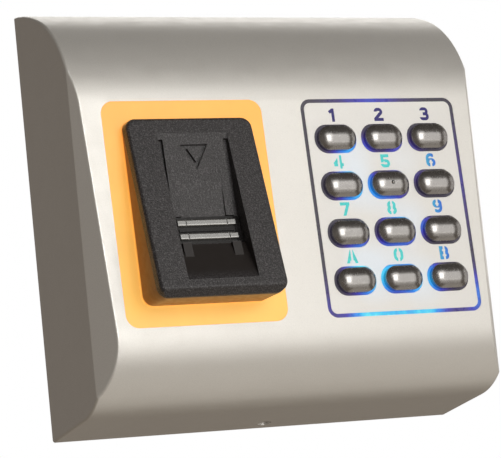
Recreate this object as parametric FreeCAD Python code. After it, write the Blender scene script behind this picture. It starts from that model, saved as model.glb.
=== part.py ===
import FreeCAD, Part
import math
import os

# Fingerprint and keypad access terminal, wall mounted. Millimetres.
# Frame: origin at the middle of the back (wall) face, +X to the viewer's right,
# the front faces -Y, +Z up. "depth" is the distance out from the wall (-Y).

# ---- driving dimensions: housing ----
WIDTH = 107.0
ORIGIN_HEIGHT = 51.4            # origin above the lowest edge of the back rim
WALL = 2.5                      # wall thickness of the front cover
CREASE_DEPTH = 28.4             # depth at which the end faces break inwards
CHAMFER_RATIO = 0.69            # inward step per unit of depth past the crease
EDGE_ROUND = 0.6                # small radius on the outer edges
FRONT_TILT = 3.8                # degrees that the front leans back
FRONT_DEPTH = 32.46             # depth of the front plane at FRONT_HEIGHT
FRONT_HEIGHT = 48.33
UNDERSIDE_ANGLE = 8.8           # degrees that the underside rises outwards
BOTTOM_RADIUS = 17.1
BROW_RADIUS = 28.3              # arc between the front plane and the top
BROW_CENTRE_HEIGHT = 72.8
BROW_TOP_HEADING = 153.7        # tangent direction where brow arc meets top arc
TOP_RADIUS = 46.9
MAX_DEPTH = 45.0                # any depth beyond the finished housing
RIM_SEAL_WIDTH = 1.0
RIM_SEAL_DEPTH = 0.8

# ---- driving dimensions: keypad, in the front plane (x, t up, n outwards) ----
KEY_PITCH_X = 12.7
KEY_PITCH_T = 11.6
KEYPAD_X = 26.15
KEYPAD_T = 0.57
PAD_WIDTH = 42.1                # lit outline, outer size
PAD_HEIGHT = 53.4
PAD_CORNER = 2.6
OUTLINE_WIDTH = 0.95            # width of the lit line
PLATE_THICK = 1.6
KEYS_T = -0.05                  # middle of the key grid
KEY_HOLE = (11.3, 7.1, 3.35)    # width, height, corner radius
KEY_CAP = (9.9, 6.0)            # a bar with half-round ends
KEY_FOOT = 1.3                  # top of a key's upright foot, above the plate
KEY_RISE = 2.5                  # top of a key's crown, above the plate
KEY_NIB_RADIUS = 0.5
KEY_COLLAR = (11.0, 6.8, 3.2)   # rim of the rubber pad, seen as the lit ring
KEY_COLLAR_TOP = -0.12
KEY_PAD_FLANGE = (11.9, 7.7, 3.6)
KEY_PAD_TOP = -1.9
KEY_PAD_THICK = 0.8
KEY_STEM_RADIUS = 1.9
KEY_STEM_END = -4.2
LEGEND_RISE = 5.9               # legend centre above its key centre
LEGEND_HEIGHT = 3.3
LEGEND_STROKE = 0.78
LEGEND_BREAK = 0.5              # width of the stencil bridges
LEGEND_RECESS = 0.05
GUIDE_TOP = -3.5                # light guide sheet
GUIDE_THICK = 1.1
GUIDE_SHOULDER = -2.8           # its rim's shoulder, just clear of the cover's inside
GUIDE_GROW = 0.9                # how far the sheet reaches past the lit outline
KEYPAD_BOARD_TOP = -5.25
DOME_RADIUS = 2.6
DOME_RISE = 0.35
BOARD_THICK = 1.6
KEYPAD_BOARD_SIZE = (43.0, 63.0)
KEYPAD_SCREW_AT = (15.0, 29.4)  # from the keypad's middle
KEYPAD_BOSS_RADIUS = 2.4

# ---- driving dimensions: sensor bezel and finger guide ----
BEZEL_X = -26.1
BEZEL_T = 0.6
BEZEL_SIZE = (41.4, 53.5, 3.2)
PEDESTAL_SIZE = (32.3, 43.8, 2.6)
PEDESTAL_WALL = 2.0
GUIDE_TILT = 11.2               # finger guide leans back this much from the front
GUIDE_FOOT_RISE = 8.9           # pedestal height at its lower edge
HEAD_THICK = 2.6
HEAD_SIDE_FOOT = 0.6            # upright foot below the slanted ends
HEAD_LIP_SLANT = 1.25           # how far the lower end slants back
HEAD_SET_BACK = 0.5             # upper end stops this much short of the pedestal's
HEAD_EDGE_ROUND = 0.9
HEAD_TUB_DEPTH = 3.6
CHANNEL_WIDTH = 17.9
CHANNEL_LOW = 3.4               # lower and upper end of the finger channel
CHANNEL_HIGH = 40.1
SENSOR_LOW = 13.3               # window of the swipe sensor along the channel
SENSOR_HIGH = 20.3
CHANNEL_DEPTH = 3.1             # below the head's face, at the sensor
CHANNEL_FOOT_DEPTH = 0.25
CHANNEL_GROOVE = (1.2, 0.9)     # width and depth of the grooves beside the ramp
SCOOP = (5.7, 28.5, 0.6)        # half width, upper end and depth of the hollow in the ramp
TRIANGLE = (3.5, 37.3, 31.3)    # half width, base and tip of the engraved triangle
TRIANGLE_LINE = (0.95, 0.65)    # width and depth of its line
BAR_SIZE = (14.6, 1.6, 0.9)
BAR_V = (15.1, 18.5)
BAR_TOP = 0.05
SENSOR_TOP = -0.85
SENSOR_BOARD_TOP = -HEAD_TUB_DEPTH - 0.4
FLANGE_TOP = -2.8               # bezel's hidden flange, just clear of the cover's inside
FLANGE_THICK = 1.2
LIGHT_BOARD_TOP = -4.5
LIGHT_BOARD_THICK = 1.0

# ---- driving dimensions: wall plate, main board, cable ----
WALL_PLATE_THICK = 1.5
WALL_SCREW_SPACING = 60.0
WALL_SCREW_RADIUS = 2.25
CABLE_HOLE_Z = 13.0
CABLE_HOLE_RADIUS = 7.0
CABLE_RADIUS = 4.5
MAIN_BOARD_BACK = 8.4           # depth of the main board's wall side
MAIN_BOARD_SIZE = (90.0, 82.0)
MAIN_BOARD_Z = -2.4
MAIN_SCREW_X = 41.0
MAIN_SCREW_Z = (33.0, -38.2)
SECURITY_SCREW_DEPTH = 4.8      # depth of the locking screw's axis
SECURITY_SCREW_RADIUS = 1.5
TAMPER_AT = (30.0, -8.0)        # x and z of the tamper switch
HOOK_X = 28.0                   # the plate's hooks and the cover's catches
CONNECTORS = ((-31.0, -34.0), (22.0, -36.0))
RELAY_AT = (-30.0, 22.0)
RELAY_PIN_RADIUS = 0.45
TERMINAL_COUNT = 8
TERMINAL_PITCH = 3.5
TERMINAL_Z = -22.0
TERMINAL_LOW = 2.3

V = FreeCAD.Vector
UP = V(0, 0, 1)


def unit(degrees):
    """Position on a unit circle for a path that turns left at this heading."""
    return math.sin(math.radians(degrees)), -math.cos(math.radians(degrees))


def box(x0, x1, y0, y1, z0, z1):
    """Box between two opposite corners."""
    return Part.makeBox(x1 - x0, y1 - y0, z1 - z0, V(x0, y0, z0))


def cylinder(radius, low, high, x=0.0, y=0.0):
    """Upright cylinder between two heights."""
    return Part.makeCylinder(radius, high - low, V(x, y, low), UP)


def rounded_prism(width, height, radius, low, high, x=0.0, y=0.0):
    """Rounded rectangle in the X-Y plane, extruded from low to high."""
    hw = width / 2
    hh = height / 2
    edges = []
    corners = ((1, 1, 0), (-1, 1, 90), (-1, -1, 180), (1, -1, 270))
    points = []
    for sx, sy, start in corners:
        cx = x + sx * (hw - radius)
        cy = y + sy * (hh - radius)
        arc = []
        for turn in (0, 45, 90):
            angle = math.radians(start + turn)
            arc.append(V(cx + radius * math.cos(angle), cy + radius * math.sin(angle), low))
        points.append(arc)
    for i, arc in enumerate(points):
        edges.append(Part.Arc(arc[0], arc[1], arc[2]).toShape())
        following = points[(i + 1) % len(points)][0]
        if arc[2].distanceToPoint(following) > 1e-6:
            edges.append(Part.LineSegment(arc[2], following).toShape())
    return Part.Face(Part.Wire(edges)).extrude(V(0, 0, high - low))


def profile_prism(points, half_width):
    """Closed outline of (v, w) points in the Y-Z plane, extruded both ways along X."""
    outline = [V(-half_width, v, w) for v, w in points]
    return Part.Face(Part.makePolygon(outline + outline[:1])).extrude(V(2 * half_width, 0, 0))


def fuse(shapes):
    """One solid from several that touch or overlap."""
    result = shapes[0]
    for other in shapes[1:]:
        result = result.fuse(other)
    return result.removeSplitter()


def cut(shape, *tools):
    """Shape with every tool taken away."""
    for tool in tools:
        shape = shape.cut(tool)
    return shape


def group(shapes):
    """Several separate solids that share one node."""
    return Part.makeCompound(shapes)


# ---- local frames ----
FRONT_FRAME = FreeCAD.Placement(
    V(0, -FRONT_DEPTH, FRONT_HEIGHT - ORIGIN_HEIGHT),
    FreeCAD.Rotation(V(1, 0, 0), 90 - FRONT_TILT))
HEAD_FRAME = FRONT_FRAME.multiply(FreeCAD.Placement(
    V(BEZEL_X, BEZEL_T - PEDESTAL_SIZE[1] / 2, GUIDE_FOOT_RISE),
    FreeCAD.Rotation(V(1, 0, 0), -GUIDE_TILT)))
MAIN_FRONT = MAIN_BOARD_BACK + BOARD_THICK
WALL_FRAME = FreeCAD.Placement(V(0, 0, 0), FreeCAD.Rotation(V(1, 0, 0), 90))


def placed(shape, frame):
    """Shape moved from a local frame into the terminal's frame."""
    moved = shape.copy()
    moved.Placement = frame.multiply(shape.Placement)
    return moved


def on_front(shape):
    """From front-plane coordinates: X right, Y up the slope, Z outwards."""
    return placed(shape, FRONT_FRAME)


def on_head(shape):
    """From finger-guide coordinates: origin at the middle of the pedestal's lower rim."""
    return placed(shape, HEAD_FRAME)


def on_wall(shape):
    """From wall coordinates: X right, Y up, Z the depth out from the wall."""
    return placed(shape, WALL_FRAME)


# ---- housing ----
def side_profile(inset, back):
    """Side outline, moved inwards by inset and closed at the depth called back."""
    tilt = math.radians(FRONT_TILT)
    rise = math.radians(UNDERSIDE_ANGLE)

    def brow_centre():
        height = BROW_CENTRE_HEIGHT
        reach = BROW_RADIUS - (FRONT_HEIGHT - height) * math.sin(tilt)
        return FRONT_DEPTH - reach / math.cos(tilt), height

    def bottom_centre():
        reach = FRONT_DEPTH * math.cos(tilt) + FRONT_HEIGHT * math.sin(tilt) - BOTTOM_RADIUS
        turn = math.cos(rise) * math.cos(tilt) + math.sin(rise) * math.sin(tilt)
        depth = (reach * math.cos(rise) - BOTTOM_RADIUS * math.sin(tilt)) / turn
        height = (BOTTOM_RADIUS + depth * math.sin(rise)) / math.cos(rise)
        return depth, height

    def on_arc(centre, radius, heading):
        step = unit(heading)
        return centre[0] + radius * step[0], centre[1] + radius * step[1]

    def point(pair):
        return V(0, -pair[0], pair[1] - ORIGIN_HEIGHT)

    def arc(centre, radius, start, end):
        middle = (start + end) / 2
        return Part.Arc(point(on_arc(centre, radius, start)),
                        point(on_arc(centre, radius, middle)),
                        point(on_arc(centre, radius, end))).toShape()

    low = bottom_centre()
    brow = brow_centre()
    low_radius = BOTTOM_RADIUS - inset
    brow_radius = BROW_RADIUS - inset
    top_radius = TOP_RADIUS - inset
    step = unit(BROW_TOP_HEADING)
    top = (brow[0] + (BROW_RADIUS - TOP_RADIUS) * step[0],
           brow[1] + (BROW_RADIUS - TOP_RADIUS) * step[1])
    front_heading = 90 + FRONT_TILT
    top_heading = 180 - math.degrees(math.asin((back - top[0]) / top_radius))
    start = (back, back * math.tan(rise) + inset / math.cos(rise))
    edges = [
        Part.LineSegment(point(start), point(on_arc(low, low_radius, UNDERSIDE_ANGLE))).toShape(),
        arc(low, low_radius, UNDERSIDE_ANGLE, front_heading),
        Part.LineSegment(point(on_arc(low, low_radius, front_heading)),
                         point(on_arc(brow, brow_radius, front_heading))).toShape(),
        arc(brow, brow_radius, front_heading, BROW_TOP_HEADING),
        arc(top, top_radius, BROW_TOP_HEADING, top_heading),
        Part.LineSegment(point(on_arc(top, top_radius, top_heading)), point(start)).toShape(),
    ]
    return Part.Face(Part.Wire(edges))


def plan_prism(inset, back):
    """Plan outline with both ends breaking inwards past the crease, extruded upwards."""
    half = WIDTH / 2 - inset
    normal = math.hypot(1, CHAMFER_RATIO)
    crease = CREASE_DEPTH - inset * (normal - 1) / CHAMFER_RATIO
    front_half = WIDTH / 2 - inset * normal - CHAMFER_RATIO * (MAX_DEPTH - CREASE_DEPTH)
    outline = [(-half, back), (half, back), (half, crease), (front_half, MAX_DEPTH),
               (-front_half, MAX_DEPTH), (-half, crease)]
    low = -2 * ORIGIN_HEIGHT
    points = [V(x, -depth, low) for x, depth in outline]
    return Part.Face(Part.makePolygon(points + points[:1])).extrude(V(0, 0, -2 * low))


def housing_solid(inset, back):
    """Solid block of the housing's outer shape, moved inwards by inset."""
    slab = side_profile(inset, back).extrude(V(2 * WIDTH, 0, 0))
    slab.translate(V(-WIDTH, 0, 0))
    return slab.common(plan_prism(inset, back))


def rounded_housing():
    """Outer block with every edge rounded except those that meet the wall."""
    block = housing_solid(0, 0)
    edges = [e for e in block.Edges if e.BoundBox.YMin < -0.01]
    return block.makeFillet(EDGE_ROUND, edges)


def rim_seal_ring():
    """Ring of rubber let into the back rim."""
    rim = rounded_housing().BoundBox
    height = rim.ZLength
    middle = rim.Center.z
    inset = (WALL - RIM_SEAL_WIDTH) / 2
    outer = rounded_prism(WIDTH - 2 * inset, height - 2 * inset, 1.0, 0, RIM_SEAL_DEPTH, 0, middle)
    inset += RIM_SEAL_WIDTH
    inner = rounded_prism(WIDTH - 2 * inset, height - 2 * inset, 0.5, -1, WALL, 0, middle)
    return on_wall(outer.cut(inner))


def main_screw_points():
    """Centres (x, z) of the four bosses that carry the main board."""
    return [(sx * MAIN_SCREW_X, z) for sx in (-1, 1) for z in MAIN_SCREW_Z]


def keypad_screw_points():
    """Centres (x, t) of the four bosses that carry the keypad board."""
    dx, dt = KEYPAD_SCREW_AT
    return [(KEYPAD_X + sx * dx, KEYPAD_T + st * dt) for sx in (-1, 1) for st in (-1, 1)]


def front_cover():
    """Die-cast cover: a hollow shell with windows for the keypad and the bezel."""
    outer = rounded_housing()
    cavity = housing_solid(WALL, -1)
    shell = outer.cut(cavity)
    bosses = [on_wall(cylinder(3.0, MAIN_BOARD_BACK + BOARD_THICK, MAX_DEPTH, x, z))
              for x, z in main_screw_points()]
    bosses += [on_front(cylinder(KEYPAD_BOSS_RADIUS, KEYPAD_BOARD_TOP, 0, x, t))
               for x, t in keypad_screw_points()]
    bosses.append(Part.makeCylinder(4.0, 4.4, V(0, -SECURITY_SCREW_DEPTH, -ORIGIN_HEIGHT), UP))
    catches = [box(x - 6, x + 6, -8.0, -4.2, 43.2, 50.0) for x in (-HOOK_X, HOOK_X)]
    inside = fuse(bosses + catches).common(outer).common(housing_solid(WALL - 0.01, -1))
    shell = shell.fuse(inside).removeSplitter()
    pilots = [on_wall(cylinder(1.0, 0, MAIN_BOARD_BACK + 9, x, z)) for x, z in main_screw_points()]
    pilots += [on_front(cylinder(0.75, -9, -3.2, x, t)) for x, t in keypad_screw_points()]
    windows = [
        on_front(rounded_prism(PAD_WIDTH, PAD_HEIGHT, PAD_CORNER, -6, 6, KEYPAD_X, KEYPAD_T)),
        on_front(rounded_prism(*BEZEL_SIZE, -6, 6, BEZEL_X, BEZEL_T)),
    ]
    hole_foot = V(0, -SECURITY_SCREW_DEPTH, -ORIGIN_HEIGHT - 2)
    screw_hole = Part.makeCylinder(SECURITY_SCREW_RADIUS + 0.2, 12, hole_foot, UP)
    return cut(shell, *pilots, *windows, screw_hole, rim_seal_ring())


# ---- keypad ----
KEY_NAMES = (("1", "2", "3"), ("4", "5", "6"), ("7", "8", "9"), ("a", "0", "b"))


def key_places():
    """(name, x, t) of each key, row by row from the top."""
    places = []
    for row, names in enumerate(KEY_NAMES):
        for column, name in enumerate(names):
            x = KEYPAD_X + (column - 1) * KEY_PITCH_X
            t = KEYS_T + (1.5 - row) * KEY_PITCH_T
            places.append((name, x, t))
    return places


def legend_bar(x0, y0, x1, y1):
    """Straight stroke of a legend."""
    length = math.hypot(x1 - x0, y1 - y0)
    bar = box(0, length, -LEGEND_STROKE / 2, LEGEND_STROKE / 2, 0, PLATE_THICK)
    bar.rotate(V(0, 0, 0), UP, math.degrees(math.atan2(y1 - y0, x1 - x0)))
    bar.translate(V(x0, y0, 0))
    return bar


def legend_loop(width, low, high):
    """Closed round-cornered stroke between two heights, centred on X=0."""
    corner = min(width, high - low) / 2 - 0.02
    middle = (low + high) / 2
    outer = rounded_prism(width, high - low, corner, 0, PLATE_THICK, 0, middle)
    inner = rounded_prism(width - 2 * LEGEND_STROKE, high - low - 2 * LEGEND_STROKE,
                          corner - LEGEND_STROKE, 0, PLATE_THICK, 0, middle)
    return outer.cut(inner)


def legend_block(x0, x1, y0, y1):
    """Block used to cut a legend away between two corners."""
    return box(x0, x1, y0, y1, 0, PLATE_THICK)


def legend_strokes(name):
    """Strokes of one legend, centred on the origin, and the blocks that break or open it."""
    h = LEGEND_HEIGHT / 2
    s = LEGEND_STROKE / 2
    b = LEGEND_BREAK / 2
    w = 1.3                      # half width of a wide legend
    upper = legend_loop(2 * w - 0.25, -s, h)
    lower = legend_loop(2 * w, -h, s)
    upright = legend_block(-b, b, -h, h)
    if name == "1":
        return [legend_bar(0.2, -h, 0.2, h), legend_bar(0.1, h - s, -0.8, h - 1.0)], []
    if name == "2":
        hook = upper.cut(legend_block(-w, 0, -h, h / 2 - 0.1)).cut(legend_block(-w, w, -h, h / 2 - 0.5))
        return [hook, legend_bar(w - 0.45, h / 2 - 0.3, -w + 0.2, -h + s),
                legend_bar(-w, -h + s, w, -h + s)], []
    if name == "3":
        return [upper, lower], [legend_block(-w - 1, -0.3, -0.85, 0.85)]
    if name == "4":
        strokes = [legend_bar(0.5, -h, 0.5, h), legend_bar(0.5, h - s, -w + 0.1, -0.6),
                   legend_bar(-w, -0.7, w, -0.7)]
        return strokes, [legend_block(-b, b, -h, h)]
    if name == "5":
        bowl = lower.cut(legend_block(-w - 1, -0.2, -0.75, 0.0))
        return [bowl, legend_bar(-w + 0.15, h - s, w - 0.2, h - s),
                legend_bar(-w + 0.15 + s, h, -w + 0.15 + s, -s)], []
    if name in ("6", "9"):
        tall = legend_loop(2 * w, -h, h).cut(legend_block(0.2, w + 1, -h, h - 0.95))
        tall = tall.cut(legend_block(0.85, w + 1, -h, h))
        six = fuse([tall, lower]).cut(legend_block(-b, b, -h, 0))
        if name == "9":
            six.rotate(V(0, 0, 0), UP, 180)
        return [six], []
    if name == "7":
        return [legend_bar(-w, h - s, w, h - s), legend_bar(w - s, h - s, -0.5, -h - s)], []
    if name == "8":
        return [upper, lower], [upright]
    if name == "a":
        return [legend_bar(-w, -h - s, 0, h), legend_bar(w, -h - s, 0, h),
                legend_bar(-w + 0.3, -0.6, w - 0.3, -0.6)], [upright]
    if name == "0":
        return [legend_loop(2 * w, -h, h)], [upright]
    stem = legend_bar(-w + s, -h, -w + s, h)
    backs = [legend_block(-w, 0, y - s, y + s) for y in (h - s, 0, -h + s)]
    return [upper.cut(legend_block(-w, 0, -s, h)), lower.cut(legend_block(-w, 0, -h, s)),
            stem] + backs, [upright]


def legend_solids():
    """Every legend in place, as solids through the whole plate."""
    solids = []
    for name, x, t in key_places():
        strokes, bridges = legend_strokes(name)
        band = legend_block(-LEGEND_HEIGHT, LEGEND_HEIGHT, -LEGEND_HEIGHT / 2, LEGEND_HEIGHT / 2)
        legend = cut(fuse(strokes), *bridges).common(band)
        legend.translate(V(x, t + LEGEND_RISE, -PLATE_THICK))
        solids += legend.Solids
    return solids


def keypad_plate():
    """Face plate with the key holes and the stencilled legends."""
    inner = 2 * OUTLINE_WIDTH
    plate = rounded_prism(PAD_WIDTH - inner, PAD_HEIGHT - inner, PAD_CORNER - OUTLINE_WIDTH,
                          -PLATE_THICK, 0, KEYPAD_X, KEYPAD_T)
    holes = [rounded_prism(*KEY_HOLE, -5, 5, x, t) for name, x, t in key_places()]
    return on_front(cut(plate, *holes, *legend_solids()))


def key_legends():
    """Translucent fillings of the stencilled legends, a hair below the plate's face."""
    keep = box(KEYPAD_X - PAD_WIDTH, KEYPAD_X + PAD_WIDTH, -PAD_HEIGHT, PAD_HEIGHT,
               -PLATE_THICK, -LEGEND_RECESS)
    return group([on_front(solid.common(keep)) for solid in legend_solids()])


def keypad_light_guide():
    """Clear sheet behind the plate; its rim fills the lit outline."""
    wider = 2 * GUIDE_GROW
    sheet = rounded_prism(PAD_WIDTH + wider, PAD_HEIGHT + wider, PAD_CORNER + GUIDE_GROW,
                          GUIDE_TOP - GUIDE_THICK, GUIDE_SHOULDER, KEYPAD_X, KEYPAD_T)
    rim = rounded_prism(PAD_WIDTH - 0.04, PAD_HEIGHT - 0.04, PAD_CORNER, GUIDE_SHOULDER, -0.12,
                        KEYPAD_X, KEYPAD_T)
    inner = 2 * OUTLINE_WIDTH
    room = rounded_prism(PAD_WIDTH - inner, PAD_HEIGHT - inner, PAD_CORNER - OUTLINE_WIDTH,
                         GUIDE_TOP, 1, KEYPAD_X, KEYPAD_T)
    posts = [cylinder(1.2, GUIDE_TOP, -PLATE_THICK, KEYPAD_X + sx * KEY_PITCH_X / 2,
                      KEYS_T + row * KEY_PITCH_T) for sx in (-1, 1) for row in (-1, 0, 1)]
    guide = fuse([cut(fuse([sheet, rim]), room)] + posts)
    stems = [cylinder(KEY_STEM_RADIUS + 0.5, -9, 1, x, t) for name, x, t in key_places()]
    bosses = [cylinder(KEYPAD_BOSS_RADIUS + 0.3, -9, GUIDE_SHOULDER, x, t)
              for x, t in keypad_screw_points()]
    return on_front(cut(guide, *stems, *bosses))


def key_cap(name, x, t):
    """Metal key: an upright foot under a crown of round section with ball ends."""
    half = KEY_CAP[1] / 2
    reach = KEY_CAP[0] / 2 - half
    crown = KEY_RISE - KEY_FOOT
    radius = (half ** 2 + crown ** 2) / (2 * crown)
    centre = KEY_RISE - radius
    along = V(1, 0, 0)
    bar = Part.makeCylinder(radius, 2 * reach, V(x - reach, t, centre), along)
    balls = [Part.makeSphere(radius, V(x + sx * reach, t, centre), along) for sx in (-1, 1)]
    above = rounded_prism(*KEY_CAP, half, KEY_FOOT, KEY_RISE + 1, x, t)
    foot = rounded_prism(*KEY_CAP, half, KEY_PAD_TOP, KEY_FOOT, x, t)
    cap = fuse([foot, fuse([bar] + balls).common(above)])
    if name == "5":
        cap = cap.fuse(Part.makeSphere(KEY_NIB_RADIUS, V(x, t, KEY_RISE - 0.15), along))
    return on_front(cap)


def key_pad(x, t):
    """Translucent rubber pad: a collar around the key, a flange and the dome's stem."""
    flange = rounded_prism(*KEY_PAD_FLANGE, KEY_PAD_TOP - KEY_PAD_THICK, KEY_PAD_TOP, x, t)
    stem = cylinder(KEY_STEM_RADIUS, KEY_STEM_END, KEY_PAD_TOP - KEY_PAD_THICK, x, t)
    collar = rounded_prism(*KEY_COLLAR, KEY_PAD_TOP, KEY_COLLAR_TOP, x, t)
    width, height = KEY_CAP
    inner = rounded_prism(width + 0.04, height + 0.04, height / 2, KEY_PAD_TOP, 1, x, t)
    return on_front(fuse([flange, stem, collar.cut(inner)]))


def key_domes():
    """Snap domes on the keypad board, one under each key."""
    ball = (DOME_RADIUS ** 2 + DOME_RISE ** 2) / (2 * DOME_RISE)
    domes = []
    for name, x, t in key_places():
        sphere = Part.makeSphere(ball, V(x, t, KEYPAD_BOARD_TOP + DOME_RISE - ball))
        keep = cylinder(DOME_RADIUS + 1, KEYPAD_BOARD_TOP, KEYPAD_BOARD_TOP + 1, x, t)
        domes.append(on_front(sphere.common(keep)))
    return group(domes)


def keypad_board():
    """Circuit board of the keypad."""
    low = KEYPAD_BOARD_TOP - BOARD_THICK
    board = rounded_prism(*KEYPAD_BOARD_SIZE, 2.0, low, KEYPAD_BOARD_TOP, KEYPAD_X, KEYPAD_T)
    holes = [cylinder(1.1, low - 1, KEYPAD_BOARD_TOP + 1, x, t) for x, t in keypad_screw_points()]
    return on_front(cut(board, *holes))


def blue_leds():
    """Blue lamps on the keypad board, between the key rows and at its edges."""
    low = KEYPAD_BOARD_TOP
    leds = []
    for dx in (-18.5, -6.2, 6.2, 18.5):
        for row in (-1, 1):
            x = KEYPAD_X + dx
            t = KEYS_T + row * KEY_PITCH_T
            leds.append(on_front(box(x - 0.8, x + 0.8, t - 0.4, t + 0.4, low, low + 0.55)))
    return group(leds)


# ---- fasteners ----
def screw(head_radius, head_height, shank_radius, length):
    """Cross-head screw, seat of the head at Z=0 and the shank going down."""
    body = cylinder(head_radius, 0, head_height)
    rim = [e for e in body.Edges if e.BoundBox.ZMin > head_height - 0.01]
    body = body.makeFillet(head_height * 0.35, rim)
    body = fuse([body, cylinder(shank_radius, -length, 0)])
    slot = head_radius * 0.6
    half = head_radius * 0.12
    floor = head_height * 0.45
    return cut(body, box(-slot, slot, -half, half, floor, head_height + 1),
               box(-half, half, -slot, slot, floor, head_height + 1))


def screws_at(template, points, z, flip):
    """Copies of one screw; flip turns the heads towards lower Z."""
    copies = []
    for x, y in points:
        one = template.copy()
        if flip:
            one.rotate(V(0, 0, 0), V(1, 0, 0), 180)
        one.translate(V(x, y, z))
        copies.append(one)
    return copies


def keypad_board_screws():
    """Four small screws that hold the keypad board to the cover."""
    template = screw(1.7, 1.1, 0.75, 3.4)
    low = KEYPAD_BOARD_TOP - BOARD_THICK
    return group([on_front(s) for s in screws_at(template, keypad_screw_points(), low, True)])


def main_board_screws():
    """Four screws that hold the main board to the cover, heads to the wall."""
    template = screw(2.4, 1.6, 1.0, 7.5)
    points = main_screw_points()
    return group([on_wall(s) for s in screws_at(template, points, MAIN_BOARD_BACK, True)])


# ---- sensor bezel and finger guide ----
def bezel_prism(size, grow, low, high):
    """Rounded prism centred on the bezel, larger than size by grow on each side."""
    return rounded_prism(size[0] + 2 * grow, size[1] + 2 * grow, size[2] + grow,
                         low, high, BEZEL_X, BEZEL_T)


def sensor_bezel():
    """Amber bezel: a flush panel, a hidden flange and the wedge-shaped pedestal."""
    floor = FLANGE_TOP - FLANGE_THICK
    panel = bezel_prism(BEZEL_SIZE, -0.05, FLANGE_TOP, 0)
    flange = bezel_prism(BEZEL_SIZE, 1.2, floor, FLANGE_TOP)
    posts = [cylinder(1.6, LIGHT_BOARD_TOP, floor, x, t) for x, t in light_board_points()]
    tower = bezel_prism(PEDESTAL_SIZE, 0, -WALL, GUIDE_FOOT_RISE + 5)
    above = box(-40, 40, -20, 80, 0, 40)
    above.Placement = FRONT_FRAME.inverse().multiply(HEAD_FRAME)
    solid = fuse([panel, flange, tower.cut(above)] + posts)
    well = bezel_prism(PEDESTAL_SIZE, -PEDESTAL_WALL, -10, 40)
    pilots = [cylinder(0.7, LIGHT_BOARD_TOP - 1, -1.2, x, t) for x, t in light_board_points()]
    return on_front(cut(solid, well, *pilots))


def light_board_points():
    """Centres (x, t) of the four screws of the bezel's lamp board."""
    dx = BEZEL_SIZE[0] / 2 - 3.0
    dt = BEZEL_SIZE[1] / 2 - 3.2
    return [(BEZEL_X + sx * dx, BEZEL_T + st * dt) for sx in (-1, 1) for st in (-1, 1)]


def bezel_light_board():
    """Frame-shaped board that carries the amber lamps behind the bezel."""
    low = LIGHT_BOARD_TOP - LIGHT_BOARD_THICK
    board = bezel_prism(BEZEL_SIZE, 0.3, low, LIGHT_BOARD_TOP)
    window = bezel_prism(PEDESTAL_SIZE, -PEDESTAL_WALL, -10, 40)
    holes = [cylinder(0.9, low - 1, 0, x, t) for x, t in light_board_points()]
    return on_front(cut(board, window, *holes))


def amber_leds():
    """Amber lamps facing the bezel's flange."""
    places = [(sx * 17.4, st * 9.0) for sx in (-1, 1) for st in (-1, 0, 1)]
    places += [(sx * 7.0, st * 23.4) for sx in (-1, 1) for st in (-1, 1)]
    leds = []
    for dx, dt in places:
        x = BEZEL_X + dx
        t = BEZEL_T + dt
        leds.append(on_front(box(x - 0.8, x + 0.8, t - 0.5, t + 0.5,
                                 LIGHT_BOARD_TOP, LIGHT_BOARD_TOP + 0.5)))
    return group(leds)


def light_board_screws():
    """Four small screws that hold the lamp board to the bezel's posts."""
    template = screw(1.5, 0.9, 0.65, 3.6)
    low = LIGHT_BOARD_TOP - LIGHT_BOARD_THICK
    return group([on_front(s) for s in screws_at(template, light_board_points(), low, True)])


def head_length():
    """Length of the head along its slope."""
    return PEDESTAL_SIZE[1] / math.cos(math.radians(GUIDE_TILT)) - HEAD_SET_BACK


def channel_floor(v):
    """Height of the finger channel's floor above the head's base at v."""
    deepest = HEAD_THICK - CHANNEL_DEPTH
    if v >= SENSOR_HIGH:
        return deepest + CHANNEL_DEPTH * (v - SENSOR_HIGH) / (CHANNEL_HIGH - SENSOR_HIGH)
    if v <= SENSOR_LOW:
        foot = HEAD_THICK - CHANNEL_FOOT_DEPTH
        return deepest + (foot - deepest) * (SENSOR_LOW - v) / (SENSOR_LOW - CHANNEL_LOW)
    return deepest


def engraved_triangle():
    """Outlined triangle that points down the channel."""
    half, top, tip = TRIANGLE
    line, depth = TRIANGLE_LINE
    outer = [(-half, top), (half, top), (0, tip)]
    slope = math.hypot(half, top - tip)
    drop = line * (slope + half) / (top - tip)
    inner_half = half - drop
    inner_tip = tip + line * slope / half
    inner = [(-inner_half, top - line), (inner_half, top - line), (0, inner_tip)]
    rings = []
    for outline in (outer, inner):
        points = [V(u, v, -2) for u, v in outline]
        rings.append(Part.Face(Part.makePolygon(points + points[:1])).extrude(V(0, 0, 8)))
    groove = rings[0].cut(rings[1])
    band = profile_prism([(SENSOR_HIGH, channel_floor(SENSOR_HIGH) - depth),
                          (CHANNEL_HIGH, channel_floor(CHANNEL_HIGH) - depth),
                          (CHANNEL_HIGH, channel_floor(CHANNEL_HIGH) + 1),
                          (SENSOR_HIGH, channel_floor(SENSOR_HIGH) + 1)], CHANNEL_WIDTH)
    return groove.common(band)


def ramp_block(start, sinks, half_width, u=0.0):
    """Block cut into the ramp; sinks are its depths at start and at the sensor."""
    top = HEAD_THICK + 1
    low = channel_floor(SENSOR_HIGH) - sinks[1]
    block = profile_prism([(start, channel_floor(start) - sinks[0]), (SENSOR_HIGH, low),
                           (SENSOR_LOW, low), (SENSOR_LOW, top), (start, top)], half_width)
    block.translate(V(u, 0, 0))
    return block


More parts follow.
